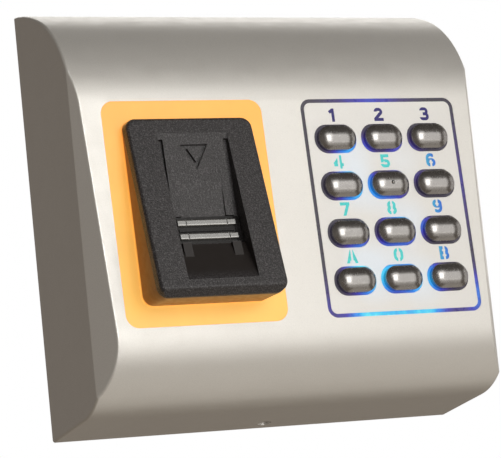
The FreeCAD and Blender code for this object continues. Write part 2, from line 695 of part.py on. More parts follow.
def head_cap():
    """Outer form of the head, with its slanted lower lip and rounded edges."""
    length = head_length()
    cap = rounded_prism(PEDESTAL_SIZE[0], length, PEDESTAL_SIZE[2], 0, HEAD_THICK, 0, length / 2)
    beyond = HEAD_THICK + 1
    lip = profile_prism([(0, HEAD_SIDE_FOOT), (HEAD_LIP_SLANT, HEAD_THICK), (HEAD_LIP_SLANT, beyond),
                         (-1, beyond), (-1, HEAD_SIDE_FOOT)], PEDESTAL_SIZE[0])
    cap = cap.cut(lip)
    crown = [e for e in cap.Edges if e.BoundBox.ZMin > HEAD_THICK - 0.01]
    return cap.makeFillet(HEAD_EDGE_ROUND, crown)


def finger_guide_head():
    """Black head on the pedestal: a slanted cap with the finger channel and sensor slot."""
    length = head_length()
    half = PEDESTAL_SIZE[0] / 2
    inner = PEDESTAL_WALL + 0.1
    tub = rounded_prism(2 * (half - inner), length - 2 * inner - 1.8, 0.8, -HEAD_TUB_DEPTH, 0,
                        0, length / 2)
    deep = channel_floor(SENSOR_HIGH)
    top = HEAD_THICK + 1
    floor = [(CHANNEL_HIGH, HEAD_THICK), (SENSOR_HIGH, deep), (SENSOR_LOW, deep),
             (CHANNEL_LOW, channel_floor(CHANNEL_LOW)), (CHANNEL_LOW, top), (CHANNEL_HIGH, top)]
    channel = profile_prism(floor, CHANNEL_WIDTH / 2)
    scoop_half, scoop_start, scoop_depth = SCOOP
    width, depth = CHANNEL_GROOVE
    hollows = [ramp_block(scoop_start, (0, scoop_depth), scoop_half)]
    groove_high = CHANNEL_HIGH - 1.5
    hollows += [ramp_block(groove_high, (depth, depth), width / 2, sx * (CHANNEL_WIDTH - width) / 2)
                for sx in (-1, 1)]
    stubs = [box(sx * 6.3 - 1.1, sx * 6.3 + 1.1, 9.2, SENSOR_LOW, -1.0, deep + 1.0)
             for sx in (-1, 1)]
    slot = box(-8.7, 8.7, SENSOR_LOW, SENSOR_HIGH, -HEAD_TUB_DEPTH - 1, top)
    pilots = [cylinder(0.7, -HEAD_TUB_DEPTH - 1, -1.6, u, v) for u, v in sensor_screw_points()]
    solid = cut(fuse([head_cap(), tub]), channel, *hollows)
    solid = fuse([solid] + stubs)
    return on_head(cut(solid, slot, engraved_triangle(), *pilots))


def sensor_screw_points():
    """Centres (u, v) of the two screws of the sensor board."""
    return [(-10.6, 16.8), (10.6, 16.8)]


def sensor_body():
    """Body of the swipe sensor, with the dark strip that reads the finger."""
    low = SENSOR_BOARD_TOP
    block = box(-8.6, 8.6, SENSOR_LOW + 0.1, SENSOR_HIGH - 0.1, low, SENSOR_TOP)
    middle = (BAR_V[0] + BAR_V[1]) / 2
    strip = box(-7.0, 7.0, middle - 0.35, middle + 0.35, SENSOR_TOP, SENSOR_TOP + 0.35)
    return on_head(fuse([block, strip]))


def sensor_bars():
    """Two bright drive bars beside the reading strip, each with two scored ends."""
    length, width, height = BAR_SIZE
    bars = []
    for v in BAR_V:
        bar = box(-length / 2, length / 2, v - width / 2, v + width / 2, BAR_TOP - height, BAR_TOP)
        long_edges = [e for e in bar.Edges
                      if e.BoundBox.ZMin > BAR_TOP - 0.01 and e.BoundBox.XLength > 1]
        bar = bar.makeFillet(0.35, long_edges)
        scores = [box(sx * 5.2 - 0.12, sx * 5.2 + 0.12, v - 2, v + 2, BAR_TOP - 0.25, BAR_TOP + 1)
                  for sx in (-1, 1)]
        bars.append(on_head(cut(bar, *scores)))
    return group(bars)


def sensor_gasket():
    """Thin seal between the head and the sensor board, around the sensor."""
    low = SENSOR_BOARD_TOP
    outer = box(-12.6, 12.6, 9.5, 24.1, low, -HEAD_TUB_DEPTH)
    inner = box(-8.7, 8.7, SENSOR_LOW, SENSOR_HIGH, low - 1, 0)
    holes = [cylinder(1.0, low - 1, 0, u, v) for u, v in sensor_screw_points()]
    return on_head(cut(outer, inner, *holes))


def sensor_board():
    """Small board behind the swipe sensor."""
    low = SENSOR_BOARD_TOP - BOARD_THICK
    board = box(-12.6, 12.6, 7.5, 28.0, low, SENSOR_BOARD_TOP)
    holes = [cylinder(1.0, low - 1, 0, u, v) for u, v in sensor_screw_points()]
    chip = box(-3.5, 3.5, 8.6, 15.6, low - 1.0, low)
    return on_head(fuse([cut(board, *holes), chip]))


def sensor_board_screws():
    """Two small screws that hold the sensor board to the head."""
    template = screw(1.5, 0.9, 0.65, 4.0)
    low = SENSOR_BOARD_TOP - BOARD_THICK
    return group([on_head(s) for s in screws_at(template, sensor_screw_points(), low, True)])


# ---- main board and what it carries ----
def relay_pin_points():
    """Centres (x, z) of the relay's pins."""
    x, z = RELAY_AT
    return [(x + dx, z + dz) for dx in (-7.0, 7.0) for dz in (-5.5, 0, 5.5)]


def main_board():
    """Main circuit board, parallel to the wall."""
    board = rounded_prism(*MAIN_BOARD_SIZE, 2.0, MAIN_BOARD_BACK, MAIN_FRONT, 0, MAIN_BOARD_Z)
    holes = [cylinder(1.3, 0, MAX_DEPTH, x, z) for x, z in main_screw_points()]
    holes += [cylinder(RELAY_PIN_RADIUS + 0.1, 0, MAX_DEPTH, x, z) for x, z in relay_pin_points()]
    return on_wall(cut(board, *holes))


def main_chips():
    """Processor, memory, bus driver and regulator, each with its row of feet."""
    chips = []
    for x, z, w, h in ((-6, -8, 12, 12), (-6, 8, 8, 6), (-24, -26, 6, 5), (10, -30, 6.5, 6.5)):
        package = box(x - w / 2, x + w / 2, z - h / 2, z + h / 2, MAIN_FRONT + 0.1, MAIN_FRONT + 1.4)
        feet = [package]
        count = int(w / 1.6)
        for i in range(count):
            fx = x - w / 2 + (i + 0.5) * w / count
            feet.append(box(fx - 0.25, fx + 0.25, z - h / 2 - 0.9, z + h / 2 + 0.9,
                            MAIN_FRONT, MAIN_FRONT + 0.3))
        chips.append(on_wall(fuse(feet)))
    return group(chips)


def board_connectors():
    """Flat-cable sockets on the main board."""
    sockets = []
    for x, z in CONNECTORS:
        body = box(x - 6.5, x + 6.5, z - 2.2, z + 2.2, MAIN_FRONT, MAIN_FRONT + 3.0)
        mouth = box(x - 5.3, x + 5.3, z - 0.5, z + 0.5, MAIN_FRONT + 1.0, MAIN_FRONT + 4)
        sockets.append(on_wall(cut(body, mouth)))
    return group(sockets)


def ribbon(points, x, width):
    """Flat cable in the depth-height plane: straight runs with rounded bends."""
    thick = 0.3
    pieces = []
    for (d0, z0), (d1, z1) in zip(points, points[1:]):
        length = math.hypot(d1 - d0, z1 - z0)
        run = box(x - width / 2, x + width / 2, 0, length, -thick / 2, thick / 2)
        run.rotate(V(0, 0, 0), V(1, 0, 0), math.degrees(math.atan2(d1 - d0, z1 - z0)))
        run.translate(V(0, z0, d0))
        pieces.append(run)
    for d, z in points[1:-1]:
        pieces.append(Part.makeCylinder(thick / 2, width, V(x - width / 2, z, d), V(1, 0, 0)))
    return on_wall(fuse(pieces))


def sensor_flex():
    """Flat cable from the sensor board down to the main board."""
    x, z = CONNECTORS[0]
    return ribbon([(MAIN_FRONT + 1.2, z), (15.5, z), (19.5, -31.0), (24.0, -22.0), (27.5, -13.0)],
                  x, 10.0)


def keypad_flex():
    """Flat cable from the keypad board down to the main board."""
    x, z = CONNECTORS[1]
    return ribbon([(MAIN_FRONT + 1.2, z), (15.0, z), (19.0, -34.0), (22.0, -30.0), (25.6, -27.0)],
                  x, 10.0)


def relay():
    """Door relay."""
    body = rounded_prism(19.0, 15.4, 0.8, MAIN_FRONT, MAIN_FRONT + 12.0, *RELAY_AT)
    pins = [cylinder(RELAY_PIN_RADIUS, MAIN_BOARD_BACK - 0.8, MAIN_FRONT + 1, x, z)
            for x, z in relay_pin_points()]
    return on_wall(fuse([body] + pins))


def buzzer():
    """Round sounder with its centre hole."""
    body = cylinder(6.0, MAIN_FRONT, MAIN_FRONT + 6.5, 4.0, 27.0)
    return on_wall(cut(body, cylinder(1.1, MAIN_FRONT + 5.0, MAIN_FRONT + 9, 4.0, 27.0)))


def capacitors():
    """Two upright electrolytic capacitors."""
    cans = []
    for x, z in ((20.0, 29.0), (30.0, 29.0)):
        can = cylinder(4.0, MAIN_FRONT, MAIN_FRONT + 9.5, x, z)
        rim = [e for e in can.Edges if e.BoundBox.ZMin > MAIN_FRONT + 9.4]
        cans.append(on_wall(can.makeFillet(0.6, rim)))
    return group(cans)


def terminal_places():
    """x of each terminal."""
    return [(i - (TERMINAL_COUNT - 1) / 2) * TERMINAL_PITCH for i in range(TERMINAL_COUNT)]


def terminal_block():
    """Screw terminals on the wall side of the main board."""
    half = TERMINAL_COUNT * TERMINAL_PITCH / 2
    block = box(-half, half, TERMINAL_Z - 3.4, TERMINAL_Z + 3.4, TERMINAL_LOW, MAIN_BOARD_BACK)
    wells = [cylinder(1.45, 0, TERMINAL_LOW + 2.2, x, TERMINAL_Z - 1.4) for x in terminal_places()]
    mouths = [box(x - 1.2, x + 1.2, TERMINAL_Z + 1.2, TERMINAL_Z + 5, TERMINAL_LOW + 2.2,
                  TERMINAL_LOW + 4.8) for x in terminal_places()]
    return on_wall(cut(block, *wells, *mouths))


def terminal_screws():
    """Clamping screws of the terminals."""
    screws = []
    for x in terminal_places():
        head = cylinder(1.3, TERMINAL_LOW + 0.7, TERMINAL_LOW + 2.2, x, TERMINAL_Z - 1.4)
        slot = box(x - 2, x + 2, TERMINAL_Z - 1.65, TERMINAL_Z - 1.15, 0, TERMINAL_LOW + 1.3)
        screws.append(on_wall(cut(head, slot)))
    return group(screws)


def tamper_switch():
    """Body of the tamper switch, on the wall side of the main board."""
    x, z = TAMPER_AT
    body = box(x - 3, x + 3, z - 3, z + 3, MAIN_BOARD_BACK - 4.0, MAIN_BOARD_BACK)
    well = cylinder(1.8, 0, MAIN_BOARD_BACK - 1.0, x, z)
    return on_wall(cut(body, well))


def tamper_plunger():
    """Plunger that the wall plate keeps pressed."""
    x, z = TAMPER_AT
    return on_wall(cylinder(1.5, WALL_PLATE_THICK + 0.3, MAIN_BOARD_BACK - 1.9, x, z))


# ---- wall side ----
def wall_plate():
    """Steel plate fixed to the wall, with hooks at the top and a tongue below."""
    plate = rounded_prism(100.0, 94.0, 3.0, 0, WALL_PLATE_THICK, 0, 0)
    holes = [cylinder(WALL_SCREW_RADIUS, -1, 5, 0, sz * WALL_SCREW_SPACING / 2) for sz in (-1, 1)]
    cable = cylinder(CABLE_HOLE_RADIUS, -1, 5, 0, CABLE_HOLE_Z)
    plate = cut(plate, *holes, cable)
    thick = WALL_PLATE_THICK
    parts = [plate]
    for x in (-HOOK_X, HOOK_X):
        parts.append(box(x - 4, x + 4, 41.0, 41.0 + thick, 0, 9.8))
        parts.append(box(x - 4, x + 4, 41.0, 45.0, 8.3, 9.8))
    parts.append(box(-6, 6, -45.4, -45.4 + thick, 0, 11.0))
    plate = fuse(parts)
    thread = Part.makeCylinder(SECURITY_SCREW_RADIUS, 10, V(0, -48, SECURITY_SCREW_DEPTH),
                               V(0, 1, 0))
    return on_wall(plate.cut(thread))


def wall_gasket():
    """Seal in the back rim of the cover."""
    return rim_seal_ring()


def cable_grommet():
    """Rubber bush that lines the cable hole, with its lip inside."""
    bush = cylinder(CABLE_HOLE_RADIUS, 0, WALL_PLATE_THICK, 0, CABLE_HOLE_Z)
    lip = cylinder(CABLE_HOLE_RADIUS + 1.8, WALL_PLATE_THICK, WALL_PLATE_THICK + 1.4, 0, CABLE_HOLE_Z)
    bore = cylinder(CABLE_RADIUS, -1, 9, 0, CABLE_HOLE_Z)
    return on_wall(cut(fuse([bush, lip]), bore))


def security_screw():
    """Headless hexagon-socket screw that locks the cover to the wall plate from below."""
    shank = cylinder(SECURITY_SCREW_RADIUS, 0, 8.0)
    corners = [math.radians(60 * i) for i in range(7)]
    socket = Part.makePolygon([V(0.85 * math.cos(a), 0.85 * math.sin(a), -1) for a in corners])
    body = cut(shank, Part.Face(socket).extrude(V(0, 0, 2.8)))
    body.translate(V(0, -SECURITY_SCREW_DEPTH, -ORIGIN_HEIGHT + 1.9))
    return body


def nodes():
    """Every node of the terminal, by name."""
    single = [front_cover, keypad_plate, key_legends, keypad_light_guide, key_domes, keypad_board,
              blue_leds, keypad_board_screws, sensor_bezel, bezel_light_board, amber_leds,
              light_board_screws, finger_guide_head, sensor_body, sensor_bars, sensor_gasket,
              sensor_board, sensor_board_screws, sensor_flex, keypad_flex, main_board, main_chips,
              board_connectors, relay, buzzer, capacitors, terminal_block, terminal_screws,
              main_board_screws, tamper_switch, tamper_plunger, wall_plate, wall_gasket,
              cable_grommet, security_screw]
    shapes = {maker.__name__: maker() for maker in single}
    for name, x, t in key_places():
        shapes["key_" + name] = key_cap(name, x, t)
        shapes["key_" + name + "_pad"] = key_pad(x, t)
    return shapes


os.makedirs("parts", exist_ok=True)
for node, shape in nodes().items():
    shape.exportStep("parts/" + node + ".step")
    print(node, len(shape.Solids), round(shape.Volume, 1), shape.isValid())
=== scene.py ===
import math
import bpy
import bmesh
from mathutils import Matrix, Vector

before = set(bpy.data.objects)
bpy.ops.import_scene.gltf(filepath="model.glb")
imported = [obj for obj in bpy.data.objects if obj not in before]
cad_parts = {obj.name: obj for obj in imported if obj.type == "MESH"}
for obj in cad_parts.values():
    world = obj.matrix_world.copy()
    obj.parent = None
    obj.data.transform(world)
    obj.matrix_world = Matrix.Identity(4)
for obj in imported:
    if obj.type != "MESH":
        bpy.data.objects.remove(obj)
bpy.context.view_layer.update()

# Fingerprint scanner terminal: finishes, light, camera and floor around the CAD's own pieces.
# Every visible shape is the CAD's; the only piece added here is the floor.

MM = 0.001

# ---- camera: the photograph's viewing angle; place in metres, angles in degrees ----
CAMERA_PLACE = (-0.29338, -0.59093, -0.09081)
CAMERA_AZIMUTH = -26.719
CAMERA_ELEVATION = -7.633
CAMERA_ROLL = -5.859
SENSOR_MM = 36.0
LENS_MM = 193.81
NEAREST = 0.01
FARTHEST = 20

# ---- the CAD's own slopes: front plane (x across, t up, n out) and finger guide (up, out) ----
FRONT_TILT = math.radians(3.8)
HEAD_TILT = math.radians(15.0)
FRONT_ORIGIN = Vector((0, -32.46, -3.07)) * MM
FRONT_UP = Vector((0, math.sin(FRONT_TILT), math.cos(FRONT_TILT)))
FRONT_OUT = Vector((0, -math.cos(FRONT_TILT), math.sin(FRONT_TILT)))
HEAD_UP = Vector((0, math.sin(HEAD_TILT), math.cos(HEAD_TILT)))
HEAD_OUT = Vector((0, -math.cos(HEAD_TILT), math.sin(HEAD_TILT)))
ACROSS = Vector((1, 0, 0))
HEAD_FOOT_T = -21.3
HEAD_FOOT_N = 8.9
HEAD_ORIGIN = FRONT_ORIGIN + FRONT_UP * (HEAD_FOOT_T * MM) + FRONT_OUT * (HEAD_FOOT_N * MM)
BEZEL_MIDDLE = Vector((-26.1 * MM, 0, 0))

# ---- floor and light ----
FLOOR_Z = -1.30
FLOOR_RADIUS = 4.0
FLOOR_SIDES = 64
FLOOR_GLOW = 0.7
BACKDROP = (1, 1, 1)
STRAIGHT_DOWN = -1.0
# ambient light by height of its direction, from straight down (0) to straight up (1)
AMBIENT = (
    (0.0, (0.145, 0.116, 0.084)),
    (0.5, (0.205, 0.180, 0.160)),
    (1.0, (0.09, 0.083, 0.075)),
)
# name: direction from the terminal, distance, width, height, radiance, colour
SOFTBOXES = {
    "front_box": ((0.26, -0.95, 0.10), 1.1, 1.15, 0.95, 0.97, (1.0, 0.985, 0.955)),
    "front_lamp": ((0.04, -0.98, 0.14), 1.15, 0.50, 0.62, 3.2, (1.0, 0.99, 0.97)),
    "front_high": ((0.08, -0.85, 0.46), 1.2, 0.9, 0.45, 0.95, (1.0, 0.99, 0.97)),
    "front_low": ((0.25, -0.88, -0.40), 1.2, 1.0, 0.5, 0.50, (1.0, 0.97, 0.92)),
    "below_card": ((0.42, -0.15, -0.86), 1.2, 1.3, 1.2, 0.37, (1.0, 0.95, 0.88)),
    "right_card": ((0.97, -0.05, 0.05), 1.2, 0.9, 1.0, 0.50, (1.0, 0.98, 0.95)),
    "back_box": ((0.44, 0.77, 0.44), 1.2, 1.1, 0.95, 1.6, (1.0, 0.98, 0.95)),
    "rear_fill": ((0.10, 0.98, 0.02), 1.2, 0.7, 0.7, 0.35, (1.0, 0.97, 0.94)),
}


def make_camera():
    """Camera in front of the terminal, to its left and below its middle, rolled a little."""
    azimuth = math.radians(CAMERA_AZIMUTH)
    elevation = math.radians(CAMERA_ELEVATION)
    roll = math.radians(CAMERA_ROLL)
    back = Vector((math.sin(azimuth) * math.cos(elevation),
                   -math.cos(azimuth) * math.cos(elevation),
                   math.sin(elevation)))
    right = (-back).cross(Vector((0, 0, 1))).normalized()
    up = right.cross(-back)
    turned_right = math.cos(roll) * right + math.sin(roll) * up
    turned_up = -math.sin(roll) * right + math.cos(roll) * up
    data = bpy.data.cameras.new("camera")
    data.sensor_width = SENSOR_MM
    data.lens = LENS_MM
    data.clip_start = NEAREST
    data.clip_end = FARTHEST
    camera = bpy.data.objects.new("camera", data)
    bpy.context.scene.collection.objects.link(camera)
    camera.matrix_world = Matrix.Translation(CAMERA_PLACE) @ Matrix((
        (turned_right.x, turned_up.x, back.x, 0),
        (turned_right.y, turned_up.y, back.y, 0),
        (turned_right.z, turned_up.z, back.z, 0),
        (0, 0, 0, 1)))
    bpy.context.scene.camera = camera


def make_softbox(name, direction, distance, width, height, radiance, colour):
    """Rectangular soft light that faces the terminal."""
    towards = Vector(direction).normalized()
    data = bpy.data.lights.new(name, "AREA")
    data.shape = "RECTANGLE"
    data.size = width
    data.size_y = height
    data.energy = radiance * width * height * math.pi
    data.color = colour
    light = bpy.data.objects.new(name, data)
    light.location = towards * distance
    light.rotation_euler = towards.to_track_quat("Z", "Y").to_euler()
    light.visible_camera = False
    bpy.context.scene.collection.objects.link(light)


def make_world():
    """White backdrop for the camera, and a dim warm ambient light graded by height."""
    world = bpy.data.worlds.new("studio")
    bpy.context.scene.world = world
    world.use_nodes = True
    tree = world.node_tree
    ambient = tree.nodes["Background"]
    direction = tree.nodes.new("ShaderNodeTexCoord")
    parts = tree.nodes.new("ShaderNodeSeparateXYZ")
    height = tree.nodes.new("ShaderNodeMapRange")
    height.inputs["From Min"].default_value = STRAIGHT_DOWN
    ramp = tree.nodes.new("ShaderNodeValToRGB")
    while len(ramp.color_ramp.elements) < len(AMBIENT):
        ramp.color_ramp.elements.new(1.0)
    for element, (position, colour) in zip(ramp.color_ramp.elements, AMBIENT):
        element.position = position
        element.color = (*colour, 1)
    tree.links.new(direction.outputs["Generated"], parts.inputs[0])
    tree.links.new(parts.outputs["Z"], height.inputs["Value"])
    tree.links.new(height.outputs["Result"], ramp.inputs[0])
    tree.links.new(ramp.outputs["Color"], ambient.inputs["Color"])
    backdrop = tree.nodes.new("ShaderNodeBackground")
    backdrop.inputs["Color"].default_value = (*BACKDROP, 1)
    path = tree.nodes.new("ShaderNodeLightPath")
    mix = tree.nodes.new("ShaderNodeMixShader")
    tree.links.new(path.outputs["Is Camera Ray"], mix.inputs[0])
    tree.links.new(ambient.outputs[0], mix.inputs[1])
    tree.links.new(backdrop.outputs[0], mix.inputs[2])
    tree.links.new(mix.outputs[0], tree.nodes["World Output"].inputs["Surface"])


class Net:
    """Node tree of one new material, with short calls for the nodes used here."""

    USUAL_NOISE = (0.3, 0.7)    # the range that noise mostly keeps to
    MIX_COLOURS = (6, 7)        # the Mix node's sockets for two colours ...
    MIX_RESULT = 2              # ... and for the mixed one

    def __init__(self, name, **fixed):
        self.material = bpy.data.materials.new(name)
        self.material.use_nodes = True
        self.tree = self.material.node_tree
        self.shader = self.tree.nodes["Principled BSDF"]
        self.place = self.make("ShaderNodeTexCoord").outputs["Object"]
        self.set(**fixed)

    def make(self, kind, inputs=(), **settings):
        """New node with its settings, and its inputs linked or set."""
        node = self.tree.nodes.new(kind)
        for key, value in settings.items():
            setattr(node, key, value)
        for socket, value in inputs:
            self.feed(node.inputs[socket], value)
        return node

    def feed(self, socket, value):
        """Links a socket, or sets a fixed value on it."""
        if isinstance(value, bpy.types.NodeSocket):
            self.tree.links.new(value, socket)
        else:
            socket.default_value = value

    def set(self, **inputs):
        """Feeds the shader's own inputs."""
        for socket, value in inputs.items():
            self.feed(self.shader.inputs[socket.replace("_", " ")], value)

    def maths(self, operation, a, b=0.0):
        """Result of one operation on two numbers."""
        return self.make("ShaderNodeMath", ((0, a), (1, b)), operation=operation).outputs[0]

    def product(self, first, *others):
        """All the values multiplied together."""
        for other in others:
            first = self.maths("MULTIPLY", first, other)
        return first

    def along(self, direction, origin):
        """Distance in millimetres along a direction, from an origin in metres."""
        shifted = self.make("ShaderNodeVectorMath", ((0, self.place), (1, origin)),
                            operation="SUBTRACT").outputs["Vector"]
        dot = self.make("ShaderNodeVectorMath", ((0, shifted), (1, direction)),
                        operation="DOT_PRODUCT").outputs["Value"]
        return self.maths("DIVIDE", dot, MM)

    def distance(self, point):
        """Distance in millimetres from a point given in metres."""
        away = self.make("ShaderNodeVectorMath", ((0, self.place), (1, point)),
                         operation="DISTANCE").outputs["Value"]
        return self.maths("DIVIDE", away, MM)

    def span(self, value, low, high, start=0.0, end=1.0):
        """Smooth change from start to end while value goes from low to high."""
        node = self.make("ShaderNodeMapRange",
                         (("Value", value), ("From Min", low), ("From Max", high),
                          ("To Min", start), ("To Max", end)), interpolation_type="SMOOTHSTEP")
        return node.outputs["Result"]

    def noise(self, size, detail=3.0, rough=0.55, stretch=(1, 1, 1)):
        """Noise whose features are about size millimetres across."""
        scaled = self.make("ShaderNodeMapping", (("Vector", self.place), ("Scale", stretch)))
        node = self.make("ShaderNodeTexNoise",
                         (("Vector", scaled.outputs[0]), ("Scale", 1 / (size * MM)),
                          ("Detail", detail), ("Roughness", rough)))
        return node.outputs["Fac"]

    def patchy(self, size, low, high, detail=3.0):
        """Value that wanders between low and high, in patches of size millimetres."""
        return self.span(self.noise(size, detail), *self.USUAL_NOISE, low, high)

    def ramp(self, fac, *stops):
        """Colour ramp through (position, colour) stops."""
        node = self.make("ShaderNodeValToRGB", ((0, fac),))
        elements = node.color_ramp.elements
        while len(elements) < len(stops):
            elements.new(1.0)
        for element, (position, colour) in zip(elements, stops):
            element.position = position
            element.color = (*colour, 1)
        return node.outputs["Color"]

    def mix(self, fac, a, b, blend="MIX"):
        """Mix of two colours."""
        node = self.make("ShaderNodeMix", data_type="RGBA", blend_type=blend)
        self.feed(node.inputs[0], fac)
        for index, value in zip(self.MIX_COLOURS, (a, b)):
            plain = not isinstance(value, bpy.types.NodeSocket)
            self.feed(node.inputs[index], (*value, 1) if plain else value)
        return node.outputs[self.MIX_RESULT]

    def bump(self, height, depth, under=None):
        """Bump whose full height is depth millimetres."""
        inputs = [("Height", height), ("Distance", depth * MM), ("Strength", 1.0)]
        if under:
            inputs.append(("Normal", under))
        return self.make("ShaderNodeBump", inputs).outputs["Normal"]


def shade(colour, factor):
    """Colour made lighter or darker."""
    return tuple(min(1.0, c * factor) for c in colour)


# ---- finishes: measures in millimetres, colours linear ----
WHITE = (1.0, 1.0, 1.0)
MID_GREY = (0.5, 0.5, 0.5)
FLAKE_STOPS = ((0.32, (0.90, 0.90, 0.90)), (0.55, WHITE))
SPANGLE = 4.0
TRACK_GRID = 6.0
LAMP_STRENGTH = 2.0
# glows of the lamps behind the keypad, on its pads and its outline: (x, t, reach, strength)
KEY_LAMPS = (
    (17.6, 12.6, 9.0, 0.80), (31.0, 11.8, 9.0, 0.45), (17.4, 4.6, 9.0, 0.80),
    (24.0, 1.5, 7.0, 0.42), (30.2, -2.8, 9.0, 0.78), (15.5, -11.8, 8.0, 0.50),
    (25.0, -10.5, 9.0, 0.42), (18.6, -16.6, 10.5, 0.95), (31.4, -18.0, 10.5, 0.85),
)
OUTLINE_LAMPS = (
    (17.7, -26.0, 11.0, 1.0), (30.4, -26.0, 12.0, 0.95), (24.0, 27.0, 17.0, 0.34),
    (5.5, -24.0, 12.0, 0.22), (47.0, -22.0, 11.0, 0.50), (47.0, 6.0, 22.0, 0.20),
)
# colour of a lit part by the field's strength: unlit, navy, blue, cyan
GLOW_STOPS = (
    (0.0, (0.035, 0.030, 0.045)),
    (0.16, (0.040, 0.025, 0.13)),
    (0.34, (0.035, 0.035, 0.36)),
    (0.62, (0.015, 0.20, 0.66)),
    (0.85, (0.03, 0.45, 0.74)),
    (1.0, (0.10, 0.66, 0.82)),
)
GLOW_STRENGTH = 0.85
LEGEND_STRENGTH = 0.58
# strength of the painted glow of the pads' light on the foot of each key
FOOT_PAINTED_GLOW_STRENGTH = 0.6
# painted blue glow of the keys' light on the keypad plate: its strength, then its colours
PAINTED_SPILL_STRENGTH = 0.6
PAINTED_SPILL_STOPS = ((0.15, (0, 0, 0)), (0.9, (0.0, 0.10, 0.22)))
# colour of the amber pedestal with painted shade, darker from its foot to the head, and the
# painted glow of the lit panel from bottom to top
PEDESTAL_SHADE_STOPS = (
    (0.0, (0.27, 0.078, 0.013)),
    (0.5, (0.20, 0.047, 0.009)),
    (1.0, (0.16, 0.036, 0.010)),
)
PANEL_STOPS = (
    (0.0, (0.96, 0.54, 0.12)),
    (0.55, (0.96, 0.505, 0.10)),
    (1.0, (0.96, 0.46, 0.09)),
)
PEDESTAL_GLOW = 0.05
PANEL_GLOW = 0.48
# where finishes, painted glow and painted shade change, each from its first value to its second:
# on the front plane ...
RIGHT_COLUMN = (34.5, 40.5)
TOP_ROW = (15.0, 20.0)
# height above the plate of a key's foot, where its painted shadow and painted glow begin
KEY_FOOT_SHADE_AND_GLOW = (0.9, 0.5)
PANEL_RISE = (0.9, 0.1)
PANEL_HEIGHT = (-26.0, 27.0)
# rise over which the pedestal's painted shade deepens towards the head
PEDESTAL_RISE = (0.0, 10.0)
# ... and on the finger guide, round the smooth floor of its channel
CHANNEL_SIDE = (9.1, 8.85)
CHANNEL_TOP = (13.5, 13.2)
CHANNEL_FOOT = (3.0, 7.0)
CHANNEL_FACE = (2.5, 2.3)


def silver_paint(name, colour, grain, metallic, low, high):
    """Net of a silver paint: fine flake, soft unevenness and a faint orange-peel surface."""
    net = Net(name, Metallic=metallic, Coat_Weight=0.12, Coat_Roughness=0.25)
    flake = net.noise(grain, 2.0)
    cloud = net.noise(22.0, 4.0)
    tone = net.mix(cloud, shade(colour, 0.965), shade(colour, 1.02))
    net.set(Base_Color=net.mix(1.0, tone, net.ramp(flake, *FLAKE_STOPS), "MULTIPLY"),
            Roughness=net.patchy(3.0, low, high, 5.0),
            Normal=net.bump(net.noise(0.9, 2.0), 0.006, net.bump(flake, 0.004)))
    return net


def lamp_field(net, points):
    """Sum of soft glows around points given as (x, t, reach, strength) on the front plane."""
    total = None
    for x, t, reach, strength in points:
        centre = FRONT_ORIGIN + FRONT_UP * (t * MM) + Vector((x * MM, 0, 0))
        glow = net.span(net.distance(centre), 0.0, reach, strength, 0.0)
        total = glow if total is None else net.maths("ADD", total, glow)
    return total


def lit_plate(name):
    """Silver paint of the keypad plate, with a faint painted blue glow of light spilling around
    the lit keys.
    """
    net = silver_paint(name, (0.84, 0.83, 0.80), 0.09, 0.40, 0.34, 0.42)
    # painted glow: the plate takes on blue light spilled from the lit rings
    painted_spill_glow = net.ramp(lamp_field(net, KEY_LAMPS), *PAINTED_SPILL_STOPS)
    net.set(Emission_Color=painted_spill_glow, Emission_Strength=PAINTED_SPILL_STRENGTH)
    return net.material


def lit_outline(name):
    """Light guide: dark where no lamp is near, then navy, blue and cyan."""
    net = Net(name, IOR=1.49, Coat_Weight=0.3)
    field = lamp_field(net, OUTLINE_LAMPS)
    uneven = net.product(field, net.patchy(2.5, 0.9, 1.1, 2.0))
    colour = net.ramp(uneven, *GLOW_STOPS)
    net.set(Base_Color=net.mix(1.0, colour, MID_GREY, "MULTIPLY"),
            Emission_Color=colour, Emission_Strength=GLOW_STRENGTH,
            Roughness=net.patchy(1.2, 0.25, 0.4),
            Normal=net.bump(net.noise(0.5, 2.0), 0.01))
    return net.material


def lit_rubber(name):
    """Translucent pads that glow around the keys."""
    net = Net(name, IOR=1.41)
    colour = net.ramp(lamp_field(net, KEY_LAMPS), *GLOW_STOPS)
    net.set(Base_Color=net.mix(0.5, colour, (0.1, 0.1, 0.12)),
            Emission_Color=colour, Emission_Strength=GLOW_STRENGTH,
            Roughness=net.patchy(0.8, 0.45, 0.6),
            Normal=net.bump(net.noise(0.25, 2.0), 0.008))
    return net.material


def lit_legends(name):
    """Legend fillings with a painted glow: navy in the top row, turquoise below, blue in the right
    column.
    """
    net = Net(name, IOR=1.45)
    up = net.along(FRONT_UP, FRONT_ORIGIN)
    across = net.along(ACROSS, FRONT_ORIGIN)
    turquoise, blue, navy = (0.075, 0.60, 0.58), (0.03, 0.16, 0.62), (0.028, 0.022, 0.15)
    below = net.mix(net.span(across, *RIGHT_COLUMN), turquoise, blue)
    colour = net.mix(net.span(up, *TOP_ROW), below, navy)
    mottle = net.patchy(0.7, 0.85, 1.1, 2.0)
    net.set(Base_Color=net.mix(1.0, colour, (0.6, 0.6, 0.6), "MULTIPLY"), Emission_Color=colour,
            Emission_Strength=net.product(mottle, LEGEND_STRENGTH),
            Roughness=net.patchy(0.5, 0.35, 0.5),
            Normal=net.bump(net.noise(0.2, 2.0), 0.008))
    return net.material


